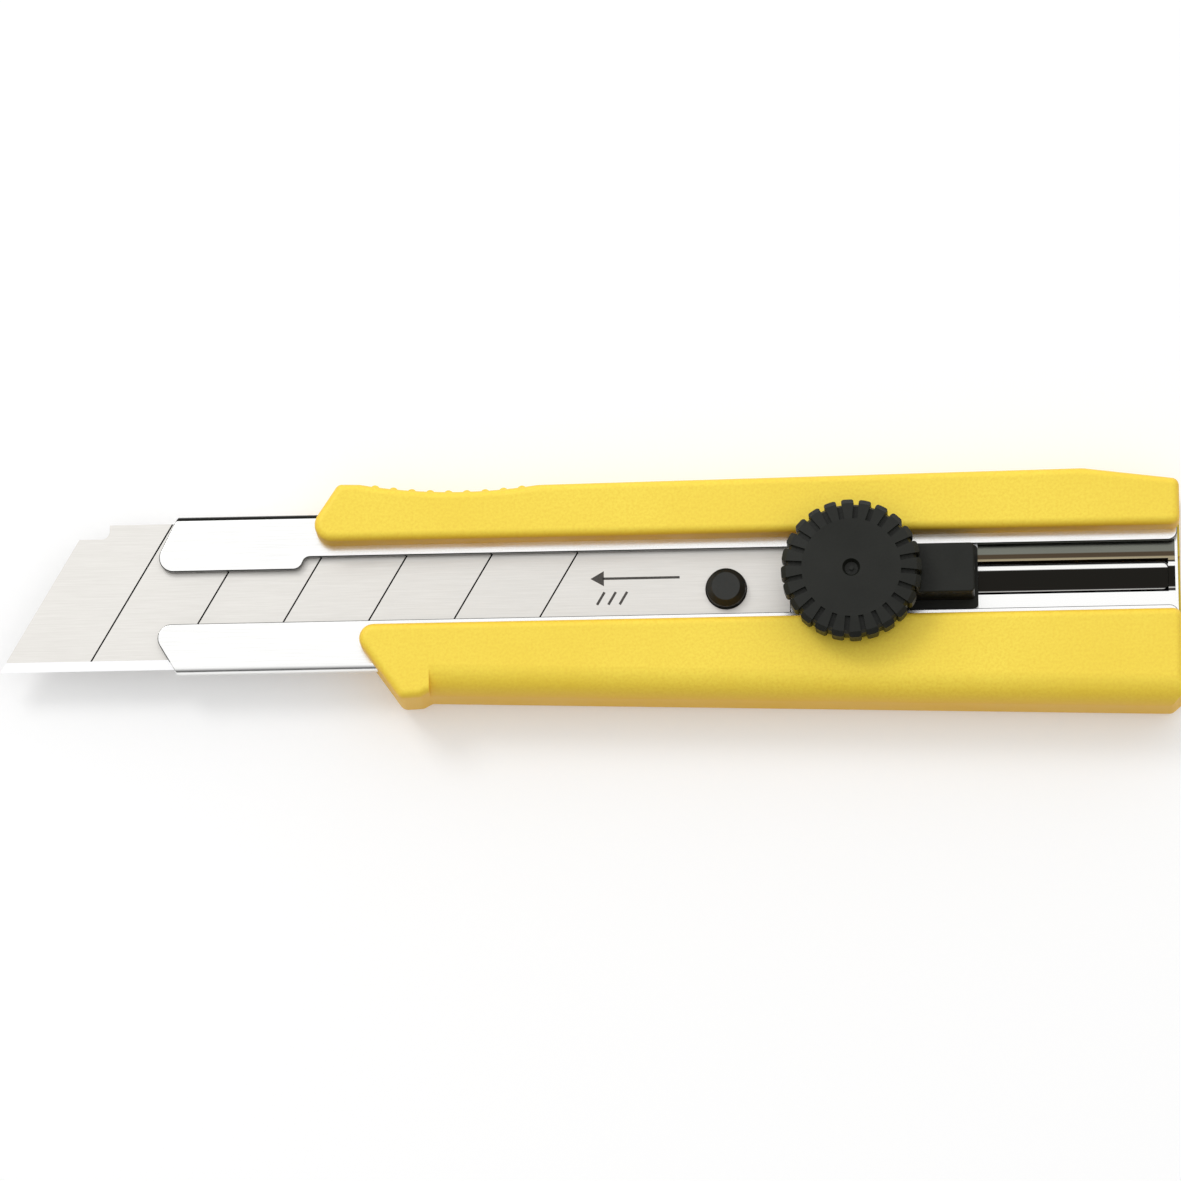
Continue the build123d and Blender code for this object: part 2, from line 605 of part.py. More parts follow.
def make_lock_wheel():
    """Thick disc with a bevelled rim, radial slots and a small gate mark on top."""
    rim_bevel = WHEEL_RADIUS - RIM_ROUND
    profile = [
        (0, WHEEL_BOTTOM),
        (rim_bevel, WHEEL_BOTTOM),
        (WHEEL_RADIUS, WHEEL_BOTTOM + RIM_ROUND),
        (WHEEL_RADIUS, WHEEL_TOP - RIM_DROP - RIM_ROUND),
        (rim_bevel, WHEEL_TOP - RIM_DROP),
        (WHEEL_FACE_RADIUS, WHEEL_TOP),
        (0, WHEEL_TOP),
    ]
    wheel = turned(profile, 0, 0)
    slot_rim = WHEEL_RADIUS - WHEEL_SLOT_DEPTH
    tooth_slot = make_face(Plane.XZ * Polyline(
        (WHEEL_FACE_RADIUS, WHEEL_TOP + 1),
        (WHEEL_FACE_RADIUS, WHEEL_TOP - WHEEL_SLOT_DEPTH),
        (rim_bevel - WHEEL_SLOT_DEPTH / 2, WHEEL_TOP - RIM_DROP - WHEEL_SLOT_DEPTH),
        (slot_rim, WHEEL_TOP - RIM_DROP - RIM_ROUND - WHEEL_SLOT_DEPTH),
        (slot_rim, WHEEL_BOTTOM - 1),
        (WHEEL_RADIUS + 1, WHEEL_BOTTOM - 1),
        (WHEEL_RADIUS + 1, WHEEL_TOP + 1),
        close=True,
    ))
    cutter = extrude(tooth_slot, WHEEL_SLOT_WIDTH / 2, both=True)
    step = 360 / WHEEL_SLOTS
    for number in range(WHEEL_SLOTS):
        wheel -= Rot(0, 0, 90 - WHEEL_SLOT_PHASE + number * step) * cutter

    tooth_corners = [
        edge for edge in wheel.edges().filter_by(Axis.Z)
        if abs(math.hypot(edge.center().X, edge.center().Y) - WHEEL_RADIUS) < 0.1
    ]
    wheel = fillet(tooth_corners, TOOTH_RADIUS)

    gate = turned([
        (0, WHEEL_TOP - GATE_DEPTH + GATE_NUB_HEIGHT),
        (GATE_NUB_RADIUS, WHEEL_TOP - GATE_DEPTH + GATE_NUB_HEIGHT),
        (GATE_NUB_RADIUS, WHEEL_TOP - GATE_DEPTH),
        (GATE_RADIUS - 0.4, WHEEL_TOP - GATE_DEPTH),
        (GATE_RADIUS, WHEEL_TOP),
        (0, WHEEL_TOP),
    ], 0, 0)
    wheel -= gate
    wheel = Pos(-WHEEL_STATION, 0, 0) * wheel
    wheel -= pin(WHEEL_STATION, 0, STUD_RADIUS + THREAD_CLEARANCE, 0, INSERT_TOP)
    return wheel - make_wheel_insert()


# ---------------------------------------------------------------- export

NODES = {
    "grip_body": make_grip,
    "blade_channel": make_channel,
    "channel_rivets": make_channel_rivets,
    "blade": make_blade,
    "slider_body": make_slider_body,
    "clamp_plate": make_clamp_plate,
    "tongue_plate": make_tongue_plate,
    "plate_rivets": make_plate_rivets,
    "blade_boss": make_blade_boss,
    "lock_stud": make_lock_stud,
    "pressure_plate": make_pressure_plate,
    "lock_wheel": make_lock_wheel,
    "wheel_insert": make_wheel_insert,
}

os.makedirs("parts", exist_ok=True)
for name, make in NODES.items():
    node = Pos(*ORIGIN_SHIFT) * make()
    export_step(node, f"parts/{name}.step")
    print(name, len(node.solids()), round(node.volume, 1))
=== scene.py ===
# %% [markdown]
# # A snap-off knife: finishes and studio
# The knife's pieces come from the CAD frame in metres, each in its own mesh with the object at the
# origin. This lesson dresses them: moulded plastics, rolled and ground steels, and the small marks
# that such a knife carries. It then sets a plain studio and a camera that looks down on the open face.

# %% Load the frame
import math

import bmesh
import bpy
from mathutils import Matrix, Vector


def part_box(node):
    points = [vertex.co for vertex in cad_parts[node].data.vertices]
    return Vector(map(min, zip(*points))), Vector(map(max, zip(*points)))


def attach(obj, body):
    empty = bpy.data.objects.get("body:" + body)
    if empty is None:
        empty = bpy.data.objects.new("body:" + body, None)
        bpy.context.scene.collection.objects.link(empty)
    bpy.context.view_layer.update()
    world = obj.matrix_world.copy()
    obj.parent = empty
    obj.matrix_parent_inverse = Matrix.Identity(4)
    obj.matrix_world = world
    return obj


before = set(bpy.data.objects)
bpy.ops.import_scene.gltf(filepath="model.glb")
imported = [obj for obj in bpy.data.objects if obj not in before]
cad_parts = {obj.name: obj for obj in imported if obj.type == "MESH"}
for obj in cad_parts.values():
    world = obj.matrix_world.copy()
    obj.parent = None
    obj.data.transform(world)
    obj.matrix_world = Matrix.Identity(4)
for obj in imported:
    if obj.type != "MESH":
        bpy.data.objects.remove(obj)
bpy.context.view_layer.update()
MM = 0.001

# %% [markdown]
# ## Places read from the frame
# Patterns such as the bright bevel have to lie on the real piece, so their places come from the boxes of
# the CAD nodes. Only sizes that a box can't give, such as the angle of the score lines, are written here.

# %% Places and sizes
blade_low, blade_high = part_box("blade")
channel_low, channel_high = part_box("blade_channel")
boss_low, boss_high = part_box("blade_boss")
boss_centre = (boss_low + boss_high) / 2
grip_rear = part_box("grip_body")[1].x
SCORE_ANGLE = math.radians(59.4)
BEVEL_WIDTH = 1.65 * MM
print("boss centre in mm:", [round(v / MM, 2) for v in boss_centre])

# %% [markdown]
# ## Small helpers for finishes
# Every finish here is a Principled shader with a few noise nodes. The noise reads Object coordinates:
# all the pieces sit at the origin, so these are true metres on the knife, and a grain of a quarter of a
# millimetre is a noise scale of 4000. Generated coordinates would stretch the grain on long pieces.

# %% Finish helpers
def start_finish(name):
    """New material with a Principled shader; returns the material, its nodes and its links."""
    material = bpy.data.materials.new(name)
    material.use_nodes = True
    tree = material.node_tree
    return material, tree.nodes, tree.links, tree.nodes["Principled BSDF"]


def stretched_coordinates(nodes, links, scale=(1, 1, 1)):
    """Object coordinates, stretched for grain that runs one way."""
    place = nodes.new("ShaderNodeTexCoord")
    mapping = nodes.new("ShaderNodeMapping")
    mapping.inputs["Scale"].default_value = scale
    links.new(place.outputs["Object"], mapping.inputs["Vector"])
    return mapping.outputs["Vector"]


def grain(nodes, links, vector, scale, detail=4.0, rough=0.55):
    """A noise pattern; returns its grey output."""
    noise = nodes.new("ShaderNodeTexNoise")
    noise.inputs["Scale"].default_value = scale
    noise.inputs["Detail"].default_value = detail
    noise.inputs["Roughness"].default_value = rough
    links.new(vector, noise.inputs["Vector"])
    return noise.outputs["Fac"]


def spread(nodes, links, value, low, high, from_low=0.3, from_high=0.7):
    """Maps a grey pattern to a range of values."""
    ranger = nodes.new("ShaderNodeMapRange")
    ranger.inputs["From Min"].default_value = from_low
    ranger.inputs["From Max"].default_value = from_high
    ranger.inputs["To Min"].default_value = low
    ranger.inputs["To Max"].default_value = high
    links.new(value, ranger.inputs["Value"])
    return ranger.outputs["Result"]


def blend_colours(nodes, links, amount, first, second):
    """Mixes two colours by a grey pattern; a colour is a triple or a socket."""
    mix = nodes.new("ShaderNodeMix")
    mix.data_type = "RGBA"
    links.new(amount, mix.inputs["Factor"])
    for socket, colour in ((mix.inputs["A"], first), (mix.inputs["B"], second)):
        if isinstance(colour, tuple):
            socket.default_value = (*colour, 1)
        else:
            links.new(colour, socket)
    return mix.outputs["Result"]


def object_axes(nodes, links):
    """Object coordinates, one output for each axis."""
    axes = nodes.new("ShaderNodeSeparateXYZ")
    links.new(nodes.new("ShaderNodeTexCoord").outputs["Object"], axes.inputs["Vector"])
    return axes.outputs


def facing_axes(nodes, links):
    """The way a face points, one output for each axis."""
    axes = nodes.new("ShaderNodeSeparateXYZ")
    links.new(nodes.new("ShaderNodeNewGeometry").outputs["Normal"], axes.inputs["Vector"])
    return axes.outputs


def relief(nodes, links, shader, layers):
    """Stacks bumps on a shader; each layer is (pattern, depth in metres, strength)."""
    normal = None
    for pattern, depth, strength in layers:
        bump = nodes.new("ShaderNodeBump")
        bump.inputs["Distance"].default_value = depth
        bump.inputs["Strength"].default_value = strength
        links.new(pattern, bump.inputs["Height"])
        if normal is not None:
            links.new(normal, bump.inputs["Normal"])
        normal = bump.outputs["Normal"]
    links.new(normal, shader.inputs["Normal"])


def calculate(nodes, links, operation, first, second=None):
    """One Math node; first and second are sockets or numbers."""
    node = nodes.new("ShaderNodeMath")
    node.operation = operation
    for socket, value in zip(node.inputs, (first, second)):
        if value is None:
            continue
        if isinstance(value, (int, float)):
            socket.default_value = value
        else:
            links.new(value, socket)
    return node.outputs["Value"]

# %% [markdown]
# ## Yellow handle
# The handle is one moulding in a firm, slightly rubbery plastic. Its mould is spark-eroded, which leaves
# a fine even grain, and handling polishes it a little in patches. A single colour would look like paint:
# two close yellows mixed by a broad noise, a fine grain bump and an uneven roughness read as moulded.
# Painted shade: the colour also deepens towards a darker orange where the faces turn away from the top.

# %% Handle finish
PALE_YELLOW = (0.965, 0.745, 0.074)
DEEP_YELLOW = (0.92, 0.680, 0.052)
FLECK_YELLOW = (0.86, 0.600, 0.045)
# Painted shade: a darker orange for faces that turn away from the top.
PAINTED_FLANK_SHADE = (0.86, 0.470, 0.024)
FLANK_SHADE_SHARE = 0.85
GRAIN_DEPTH = 0.06 * MM
FINE_GRAIN_DEPTH = 0.03 * MM


def yellow_moulding():
    material, nodes, links, shader = start_finish("yellow_moulding")
    plain = stretched_coordinates(nodes, links)
    broad = grain(nodes, links, plain, 45, detail=3)
    speckle = grain(nodes, links, plain, 2100, detail=3)
    tone = blend_colours(
        nodes, links, spread(nodes, links, broad, 0, 1), DEEP_YELLOW, PALE_YELLOW)
    fleck = spread(nodes, links, speckle, 0, 0.75, 0.38, 0.72)
    flecked = blend_colours(nodes, links, fleck, tone, FLECK_YELLOW)
    facing = facing_axes(nodes, links)
    # Painted shade on the flanks, read from the way each face points.
    flank_shade = spread(nodes, links, facing["Z"], FLANK_SHADE_SHARE, 0, 0.1, 0.97)
    colour = blend_colours(nodes, links, flank_shade, flecked, PAINTED_FLANK_SHADE)
    links.new(colour, shader.inputs["Base Color"])
    rough = spread(nodes, links, broad, 0.46, 0.60)
    links.new(rough, shader.inputs["Roughness"])
    shader.inputs["Specular IOR Level"].default_value = 0.42
    fine = grain(nodes, links, plain, 3600, detail=2)
    relief(nodes, links, shader, [(speckle, GRAIN_DEPTH, 0.35), (fine, FINE_GRAIN_DEPTH, 0.5)])
    return material


grip_finish = yellow_moulding()
print("handle finish:", grip_finish.name)

# %% [markdown]
# ## Black mouldings
# The wheel, the slider's block and the boss are glass-filled nylon: nearly black, satin, with a grain
# finer than the handle's. The flat tops catch the overhead light as a dull grey. The boss is rubbed by
# the sheath and by thumbs, so it shines a little more than the rest.

# %% Black finish
NYLON_DARK = (0.0075, 0.0083, 0.0058)
NYLON_WORN = (0.012, 0.0128, 0.0098)
NYLON_SHINE = 0.24
BOSS_SHINE = 0.42
NYLON_GRAIN_DEPTH = 0.03 * MM


def black_moulding(name, shine):
    material, nodes, links, shader = start_finish(name)
    plain = stretched_coordinates(nodes, links)
    broad = grain(nodes, links, plain, 120, detail=3)
    colour = blend_colours(
        nodes, links, spread(nodes, links, broad, 0, 1), NYLON_DARK, NYLON_WORN)
    links.new(colour, shader.inputs["Base Color"])
    fine = grain(nodes, links, plain, 2600, detail=3)
    links.new(spread(nodes, links, fine, 0.40, 0.56), shader.inputs["Roughness"])
    shader.inputs["Specular IOR Level"].default_value = shine
    relief(nodes, links, shader, [(fine, NYLON_GRAIN_DEPTH, 0.45)])
    return material


black_finish = black_moulding("black_moulding", NYLON_SHINE)
boss_finish = black_moulding("black_boss", BOSS_SHINE)
print("black finishes:", black_finish.name, boss_finish.name)

# %% [markdown]
# ## Rolled stainless channel
# The channel is bright cold-rolled stainless sheet. Rolling leaves very fine lines along the length, so
# the noise is stretched along X. Two kinds of painted light go on the steel. The edges of the lips and
# the bend on the spine's side are painted nearly black as shade, found by their normals. The floor
# carries
# painted reflections and shade: a colour ramp read across the track paints the dull grey and straw bands
# on the spine's side as reflections of the handle and shade under the lip, the black groove as painted
# shade, a painted highlight at its upper edge, and the clean strip below it. The bands stop just short of
# the channel's rear end.

# %% Channel finish
BANDS_END = 0.45 * MM
FLOOR_LEVEL = 2.05 * MM
EDGE_REACH = 11.5 * MM
# Painted shade: faces less upright than this threshold get the near-black colour below, standing in for
# the shade along the lips' edges, their fillets and the top of the outer bend.
EDGE_SHADE_BELOW = 0.95
PAINTED_EDGE_SHADE = (0.015, 0.015, 0.013)
STEEL_DULL = (0.88, 0.88, 0.87)
STEEL_BRIGHT = (0.97, 0.97, 0.96)
LINE_DEPTH = 0.008 * MM
BAND_BLUR = 0.012
TRACK_LOW = -6.0
TRACK_HIGH = 7.0
# Painted reflections and shade across the floor, in mm from the middle: the clean strip, a dark painted
# shade line and a grey painted highlight at the groove's lower edge, the black groove as painted shade, a
# painted highlight at its upper edge, a dark line, then straw, brown and grey bands painted as
# reflections of the handle and shade under the lip.
PAINTED_FLOOR_BANDS = (
    (-6.0, (0.93, 0.93, 0.92)),
    (-2.2, (0.030, 0.028, 0.025)),
    (-1.75, (0.55, 0.54, 0.52)),
    (-1.55, (0.014, 0.013, 0.011)),
    (2.05, (0.90, 0.90, 0.88)),
    (2.75, (0.020, 0.018, 0.015)),
    (3.05, (0.34, 0.29, 0.19)),
    (3.75, (0.075, 0.055, 0.035)),
    (4.55, (0.17, 0.175, 0.15)),
)


def painted_floor_light(nodes, links, along_y):
    """Painted reflections and shade for the channel's floor, read across the track from the edge's side
    to the spine's.
    """
    middle = (channel_low.y + channel_high.y) / 2
    place = spread(
        nodes, links, along_y, 0, 1, middle + TRACK_LOW * MM, middle + TRACK_HIGH * MM)
    ramp = nodes.new("ShaderNodeValToRGB")
    ramp.color_ramp.interpolation = "LINEAR"
    stops = ramp.color_ramp.elements
    span = TRACK_HIGH - TRACK_LOW
    stops[0].position = 0.0
    stops[0].color = (*PAINTED_FLOOR_BANDS[0][1], 1)
    stops[1].position = 1.0
    stops[1].color = (*PAINTED_FLOOR_BANDS[-1][1], 1)
    for (low, colour), (_, before) in zip(PAINTED_FLOOR_BANDS[1:], PAINTED_FLOOR_BANDS[:-1]):
        start = (low - TRACK_LOW) / span
        stops.new(start - BAND_BLUR / 2).color = (*before, 1)
        stops.new(start + BAND_BLUR / 2).color = (*colour, 1)
    links.new(place, ramp.inputs["Fac"])
    return ramp.outputs["Color"]


def rolled_steel():
    material, nodes, links, shader = start_finish("rolled_steel")
    shader.inputs["Metallic"].default_value = 1.0
    along = stretched_coordinates(nodes, links, scale=(0.02, 1, 1))
    lines = grain(nodes, links, along, 5200, detail=5, rough=0.65)
    plain = stretched_coordinates(nodes, links)
    patches = grain(nodes, links, plain, 60, detail=3)

    axes = object_axes(nodes, links)
    facing = facing_axes(nodes, links)
    low_down = calculate(
        nodes, links, "LESS_THAN", axes["Z"], channel_low.z + FLOOR_LEVEL)
    upward = calculate(nodes, links, "GREATER_THAN", facing["Z"], -0.1)
    before_end = calculate(
        nodes, links, "LESS_THAN", axes["X"], channel_high.x - BANDS_END)
    on_floor = calculate(nodes, links, "MULTIPLY", low_down, upward)
    in_track = calculate(nodes, links, "MULTIPLY", on_floor, before_end)

    middle = (channel_low.y + channel_high.y) / 2
    off_middle = calculate(nodes, links, "SUBTRACT", axes["Y"], middle)
    distance = calculate(nodes, links, "ABSOLUTE", off_middle)
    upright = calculate(nodes, links, "ABSOLUTE", facing["Z"])
    # Mask for the painted edge shade, chosen by how upright each face is.
    edge_shade_facing = calculate(nodes, links, "LESS_THAN", upright, EDGE_SHADE_BELOW)
    inside = calculate(nodes, links, "LESS_THAN", distance, EDGE_REACH)
    on_lip = calculate(nodes, links, "MULTIPLY", edge_shade_facing, inside)
    at_fold = calculate(nodes, links, "GREATER_THAN", off_middle, EDGE_REACH)
    bent = calculate(
        nodes, links, "MULTIPLY", edge_shade_facing,
        calculate(nodes, links, "GREATER_THAN", facing["Z"], 0.2))
    on_fold = calculate(nodes, links, "MULTIPLY", at_fold, bent)
    on_shaded_edge = calculate(nodes, links, "MAXIMUM", on_lip, on_fold)

    bright = blend_colours(
        nodes, links, spread(nodes, links, lines, 0, 1), STEEL_DULL, STEEL_BRIGHT)
    # Painted reflections and shade on the floor behind the slider.
    painted_floor_colour = painted_floor_light(nodes, links, axes["Y"])
    floor_with_painted_light = blend_colours(nodes, links, in_track, bright, painted_floor_colour)
    colour = blend_colours(nodes, links, on_shaded_edge, floor_with_painted_light, PAINTED_EDGE_SHADE)
    links.new(colour, shader.inputs["Base Color"])
    links.new(spread(nodes, links, patches, 0.16, 0.26), shader.inputs["Roughness"])
    relief(nodes, links, shader, [(lines, LINE_DEPTH, 0.35)])
    return material


channel_finish = rolled_steel()
print("channel finish:", channel_finish.name, "with", len(PAINTED_FLOOR_BANDS), "bands on its floor")

# %% [markdown]
# ## Ground blade steel
# The blade is hardened strip. Its faces are ground satin along the length, and the cutting edge is
# ground again, finer and brighter, as is the countersink round the hole. The score lines are pressed in,
# and are painted nearly black as shade inside their narrow grooves. They are told apart by height:
# whatever lies between the two faces and away from the edge and the hole is in a score line.

# %% Blade finish
HOLE_REACH = 4.2 * MM
FACE_MARGIN = 0.03 * MM
SATIN_DARK = (0.63, 0.612, 0.58)
SATIN_LIGHT = (0.70, 0.683, 0.652)
# Painted shade: near-black for the score lines, standing in for the shade inside their narrow grooves.
FINE_GROUND = (0.97, 0.97, 0.98)
PAINTED_SCORE_SHADE = (0.006, 0.006, 0.006)
FINE_GROUND_SMOOTHER = -0.14


def ground_blade():
    material, nodes, links, shader = start_finish("ground_blade")
    shader.inputs["Metallic"].default_value = 1.0
    along = stretched_coordinates(nodes, links, scale=(0.03, 1, 1))
    lines = grain(nodes, links, along, 4200, detail=5, rough=0.7)
    plain = stretched_coordinates(nodes, links)
    patches = grain(nodes, links, plain, 50, detail=3)

    axes = object_axes(nodes, links)
    bevel_line = blade_low.y + BEVEL_WIDTH
    on_bevel = calculate(nodes, links, "LESS_THAN", axes["Y"], bevel_line)
    face_top = blade_high.z - FACE_MARGIN
    face_bottom = blade_low.z + FACE_MARGIN
    below_top = calculate(nodes, links, "LESS_THAN", axes["Z"], face_top)
    above_bottom = calculate(nodes, links, "GREATER_THAN", axes["Z"], face_bottom)
    sunk = calculate(nodes, links, "MULTIPLY", below_top, above_bottom)
    off_bevel = calculate(nodes, links, "SUBTRACT", 1.0, on_bevel)
    from_x = calculate(nodes, links, "SUBTRACT", axes["X"], boss_centre.x)
    from_y = calculate(nodes, links, "SUBTRACT", axes["Y"], boss_centre.y)
    reach = calculate(
        nodes, links, "SQRT", calculate(
            nodes, links, "ADD",
            calculate(nodes, links, "MULTIPLY", from_x, from_x),
            calculate(nodes, links, "MULTIPLY", from_y, from_y)))
    at_hole = calculate(nodes, links, "LESS_THAN", reach, HOLE_REACH)
    off_hole = calculate(nodes, links, "SUBTRACT", 1.0, at_hole)
    in_ring = calculate(nodes, links, "MULTIPLY", at_hole, sunk)
    in_groove = calculate(nodes, links, "MULTIPLY", sunk, off_bevel)
    in_score = calculate(nodes, links, "MULTIPLY", in_groove, off_hole)

    satin = blend_colours(
        nodes, links, spread(nodes, links, lines, 0, 1), SATIN_DARK, SATIN_LIGHT)
    shining = calculate(nodes, links, "MAXIMUM", on_bevel, in_ring)
    edged = blend_colours(nodes, links, shining, satin, FINE_GROUND)
    # Painted shade in the score lines.
    colour = blend_colours(nodes, links, in_score, edged, PAINTED_SCORE_SHADE)
    links.new(colour, shader.inputs["Base Color"])
    face_rough = spread(nodes, links, patches, 0.34, 0.44)
    bevel_rough = calculate(nodes, links, "MULTIPLY", shining, FINE_GROUND_SMOOTHER)
    links.new(calculate(nodes, links, "ADD", face_rough, bevel_rough), shader.inputs["Roughness"])
    relief(nodes, links, shader, [(lines, LINE_DEPTH, 0.4)])
    return material


blade_finish = ground_blade()
print("blade finish:", blade_finish.name)

# %% [markdown]
# ## Plated steel and brass inside
# The clamp plate, the tongue, the stud, the rivets and the pressure plate are zinc-plated, with a faint
# cloudy lustre. The nut in the wheel is turned brass, with fine rings from the lathe.

# %% Inner finishes
ZINC_DARK = (0.50, 0.51, 0.53)
ZINC_LIGHT = (0.66, 0.66, 0.65)
BRASS_DARK = (0.72, 0.50, 0.20)
BRASS_LIGHT = (0.83, 0.62, 0.30)
CUT_DEPTH = 0.01 * MM


def plated_steel():
    material, nodes, links, shader = start_finish("plated_steel")
    shader.inputs["Metallic"].default_value = 1.0
    plain = stretched_coordinates(nodes, links)
    clouds = grain(nodes, links, plain, 260, detail=4)
    colour = blend_colours(
        nodes, links, spread(nodes, links, clouds, 0, 1), ZINC_DARK, ZINC_LIGHT)
    links.new(colour, shader.inputs["Base Color"])
    links.new(spread(nodes, links, clouds, 0.28, 0.42), shader.inputs["Roughness"])
    fine = grain(nodes, links, plain, 3000, detail=3)
    relief(nodes, links, shader, [(fine, CUT_DEPTH, 0.4)])
    return material


def turned_brass():
    material, nodes, links, shader = start_finish("turned_brass")
    shader.inputs["Metallic"].default_value = 1.0
    rings = stretched_coordinates(nodes, links, scale=(0.05, 0.05, 1))
    cuts = grain(nodes, links, rings, 6000, detail=3)
    colour = blend_colours(
        nodes, links, spread(nodes, links, cuts, 0, 1), BRASS_DARK, BRASS_LIGHT)
    links.new(colour, shader.inputs["Base Color"])
    links.new(spread(nodes, links, cuts, 0.22, 0.36), shader.inputs["Roughness"])
    relief(nodes, links, shader, [(cuts, CUT_DEPTH, 0.4)])
    return material


plated_finish = plated_steel()
brass_finish = turned_brass()
print("inner finishes:", plated_finish.name, brass_finish.name)

# %% [markdown]
# ## Dressing the pieces
# Each CAD piece has one material slot. The table says which finish goes in it; the meshes stay as they
# came, so the finishes and the shapes can be changed apart from each other.

# %% Dress the CAD pieces
FINISHES = {
    "grip_body": grip_finish,
    "blade_channel": channel_finish,
    "channel_rivets": plated_finish,
    "blade": blade_finish,
    "slider_body": black_finish,
    "clamp_plate": plated_finish,
    "tongue_plate": plated_finish,
    "plate_rivets": plated_finish,
    "blade_boss": boss_finish,
    "lock_stud": plated_finish,
    "pressure_plate": plated_finish,
    "lock_wheel": black_finish,
    "wheel_insert": brass_finish,
}
for node_name, finish in FINISHES.items():
    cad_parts[node_name].material_slots[0].material = finish
print("dressed", len(FINISHES), "pieces")

# %% [markdown]
# ## Etched mark on the blade
# Blades carry a small etched sign near the hole. Here it is a plain arrow towards the tip, over three
# strokes at the angle of the score lines. Etching has no thickness to speak of, so each stroke is a bar
# a few hundredths of a millimetre high, half sunk in the face. Bars come from `create_cube` and the
# arrow's head from a three-sided `create_circle`, extruded; a Boolean cut would not look any different.

# %% Blade mark
MARK_HEIGHT = 0.03 * MM
MARK_STROKE = 0.42 * MM
MARK_AHEAD = 15.5 * MM
MARK_ASIDE = 2.2 * MM
SHAFT_LENGTH = 13.0 * MM
SHAFT_BACK = 1.2 * MM
HEAD_AHEAD = 5.8 * MM
HEAD_RADIUS = 1.5 * MM
STROKES = 3
STROKE_LENGTH = 2.5 * MM
STROKE_PITCH = 1.9 * MM
STROKES_AHEAD = 5.6 * MM
STROKES_BELOW = 3.4 * MM


def add_bar(shape, centre, length, width, turn=0.0):
    """A flat bar on the blade's face, turned about Z."""
    size = Matrix.Diagonal((length, width, MARK_HEIGHT, 1))
    place = Matrix.Translation(centre) @ Matrix.Rotation(turn, 4, "Z") @ size
    bmesh.ops.create_cube(shape, size=1.0, matrix=place)


def add_arrow_head(shape, centre, radius):
    """A flat triangle that points to -X."""
    place = Matrix.Translation(centre) @ Matrix.Rotation(math.pi / 2, 4, "Z")
    made = bmesh.ops.create_circle(shape, cap_ends=True, segments=3, radius=radius, matrix=place)
    faces = list({face for vert in made["verts"] for face in vert.link_faces})
    grown = bmesh.ops.extrude_face_region(shape, geom=faces)
    lifted = [item for item in grown["geom"] if isinstance(item, bmesh.types.BMVert)]
    bmesh.ops.translate(shape, verts=lifted, vec=(0, 0, MARK_HEIGHT))


def etched_mark():
    shape = bmesh.new()
    middle = Vector((boss_centre.x - MARK_AHEAD, boss_centre.y + MARK_ASIDE, blade_high.z))
    add_bar(shape, middle + Vector((SHAFT_BACK, 0, 0)), SHAFT_LENGTH, MARK_STROKE)
    add_arrow_head(shape, middle - Vector((HEAD_AHEAD, 0, MARK_HEIGHT / 2)), HEAD_RADIUS)
    for number in range(STROKES):
        slide = Vector((number * STROKE_PITCH - STROKES_AHEAD, -STROKES_BELOW, 0))
        add_bar(shape, middle + slide, STROKE_LENGTH, MARK_STROKE, SCORE_ANGLE)
    bmesh.ops.recalc_face_normals(shape, faces=shape.faces)
    mesh = bpy.data.meshes.new("blade_mark")
    shape.to_mesh(mesh)
    shape.free()
    mark = bpy.data.objects.new("blade_mark", mesh)
    bpy.context.scene.collection.objects.link(mark)
    return mark


def etched_dark():
    """Etched steel: matt, dark and a little uneven."""
    material, nodes, links, shader = start_finish("etched_dark")
    shader.inputs["Metallic"].default_value = 0.4
    plain = stretched_coordinates(nodes, links)
    specks = grain(nodes, links, plain, 5000, detail=3)
    colour = blend_colours(
        nodes, links, spread(nodes, links, specks, 0, 1), (0.045, 0.043, 0.04), (0.10, 0.095, 0.09))
    links.new(colour, shader.inputs["Base Color"])
    links.new(spread(nodes, links, specks, 0.55, 0.75), shader.inputs["Roughness"])
    return material


blade_mark = etched_mark()
blade_mark.data.materials.append(etched_dark())
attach(blade_mark, "slider")
print("mark faces:", len(blade_mark.data.polygons))

# %% [markdown]
# ## Studio
# A pale floor, a broad soft light from the upper left, and a pale sky. Polished steel shows whatever it
# faces, so the sky is brightest overhead and on the spine's side, where the lips of the channel mirror
# it, and dim low down on the edge's side, where the rounding of the handle should fall off. The floor
# glows faintly, like a light table, so that shadows stay pale.

# %% Floor and light
FLOOR_HALF = 3.0
FLOOR_GLOW = 0.20
FLOOR_CLEARANCE = 0.05 * MM
KEY_SIZE = 0.4
KEY_POWER = 3.6
SKY_DIM = 0.12
SKY_BRIGHT = 1.065
SKY_UPWARD = 0.75
SKY_SPINEWARD = 0.45
SKY_DIM_AT = -0.12
SKY_BRIGHT_AT = 0.60


def pale_floor():
    mesh = bpy.data.meshes.new("floor")
    shape = bmesh.new()
    bmesh.ops.create_grid(shape, x_segments=1, y_segments=1, size=FLOOR_HALF)
    shape.to_mesh(mesh)
    shape.free()
    floor = bpy.data.objects.new("floor", mesh)
    floor.location.z = -FLOOR_CLEARANCE
    bpy.context.scene.collection.objects.link(floor)
    material, nodes, links, shader = start_finish("pale_floor")
    shader.inputs["Base Color"].default_value = (0.80, 0.80, 0.80, 1)
    shader.inputs["Roughness"].default_value = 0.9
    shader.inputs["Specular IOR Level"].default_value = 0.1
    shader.inputs["Emission Color"].default_value = (1.0, 1.0, 1.0, 1)
    shader.inputs["Emission Strength"].default_value = FLOOR_GLOW
    mesh.materials.append(material)
    return floor


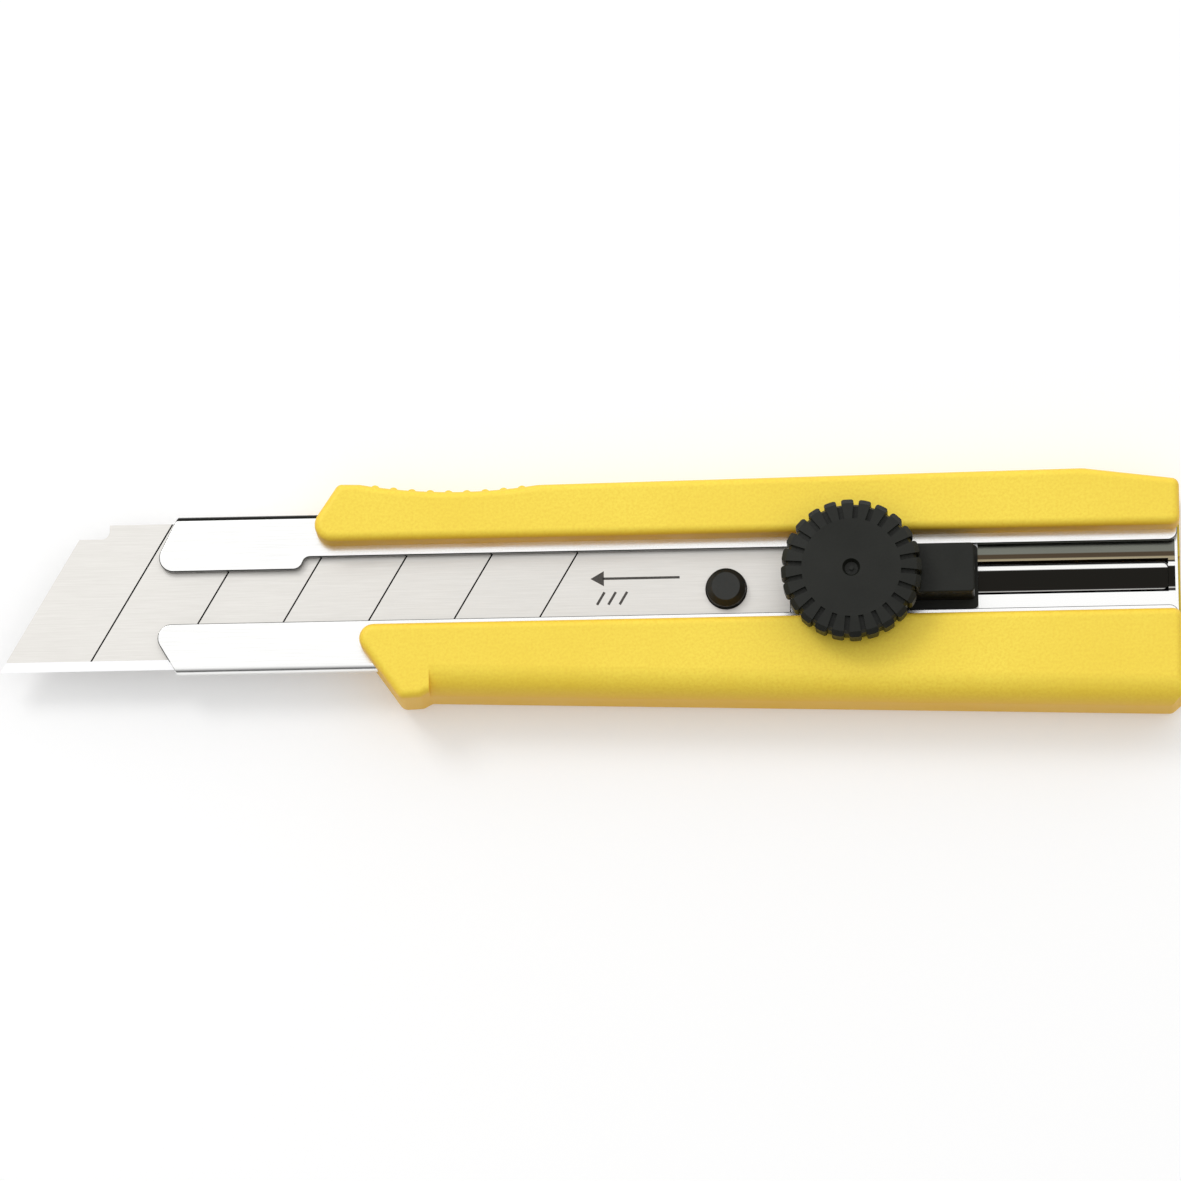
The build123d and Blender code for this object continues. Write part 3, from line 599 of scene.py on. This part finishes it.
def soft_panel(name, place, size, power):
    """Square area light at a place, turned to face the knife."""
    lamp = bpy.data.lights.new(name, "AREA")
    lamp.shape = "SQUARE"
    lamp.size = size
    lamp.energy = power
    panel = bpy.data.objects.new(name, lamp)
    panel.location = place
    panel.rotation_euler = (-Vector(place)).to_track_quat("-Z", "Y").to_euler()
    bpy.context.scene.collection.objects.link(panel)
    return panel


def pale_surround(dim, bright):
    """Sky that is bright overhead and on the spine's side, and dim low down on the edge's side."""
    world = bpy.data.worlds.new("surround")
    bpy.context.scene.world = world
    world.use_nodes = True
    nodes, links = world.node_tree.nodes, world.node_tree.links
    place = nodes.new("ShaderNodeTexCoord")
    axes = nodes.new("ShaderNodeSeparateXYZ")
    links.new(place.outputs["Generated"], axes.inputs["Vector"])
    upward = calculate(nodes, links, "MULTIPLY", axes.outputs["Z"], SKY_UPWARD)
    spineward = calculate(nodes, links, "MULTIPLY", axes.outputs["Y"], SKY_SPINEWARD)
    height = calculate(nodes, links, "ADD", upward, spineward)
    strength = spread(nodes, links, height, dim, bright, SKY_DIM_AT, SKY_BRIGHT_AT)
    background = nodes["Background"]
    background.inputs["Color"].default_value = (1.0, 1.0, 1.0, 1)
    links.new(strength, background.inputs["Strength"])


floor = pale_floor()
pale_surround(SKY_DIM, SKY_BRIGHT)
key = soft_panel("key_panel", (-0.55, 0.65, 0.95), KEY_SIZE, KEY_POWER)
bpy.context.scene.view_settings.view_transform = "Standard"
print("studio:", floor.name, key.name)

# %% [markdown]
# ## Camera
# The camera looks nearly straight down on the open face, leaning twelve degrees towards the cutting
# edge and a little towards the handle's end. A long lens from far away keeps the sides parallel, and a
# slight roll lets the knife climb to the right.

# %% Camera
LEAN_TO_EDGE = math.radians(12.0)
LEAN_TO_REAR = math.radians(2.6)
ROLL = math.radians(1.15)
VIEW_WIDTH = 198.2 * MM
DISTANCE = 1.6
SENSOR = 36.0
AIM_FROM_REAR = 98.9 * MM

aim = Vector((grip_rear - AIM_FROM_REAR, 1.68 * MM, 8.5 * MM))
back = Vector((math.tan(LEAN_TO_REAR), -math.tan(LEAN_TO_EDGE), 1.0)).normalized()
knife_axis = Vector((1, 0, 0))
flat_right = (knife_axis - back * knife_axis.dot(back)).normalized()
flat_up = back.cross(flat_right)
right = (flat_right * math.cos(ROLL) - flat_up * math.sin(ROLL)).normalized()
up = back.cross(right)

lens = bpy.data.cameras.new("camera")
lens.sensor_width = SENSOR
lens.lens = SENSOR * DISTANCE / VIEW_WIDTH
lens.clip_start = 0.05
lens.clip_end = 20.0
camera = bpy.data.objects.new("camera", lens)
turned = Matrix((right, up, back)).transposed().to_4x4()
camera.matrix_world = Matrix.Translation(aim + back * DISTANCE) @ turned
bpy.context.scene.collection.objects.link(camera)
bpy.context.scene.camera = camera
print("lens in mm:", round(lens.lens, 1))
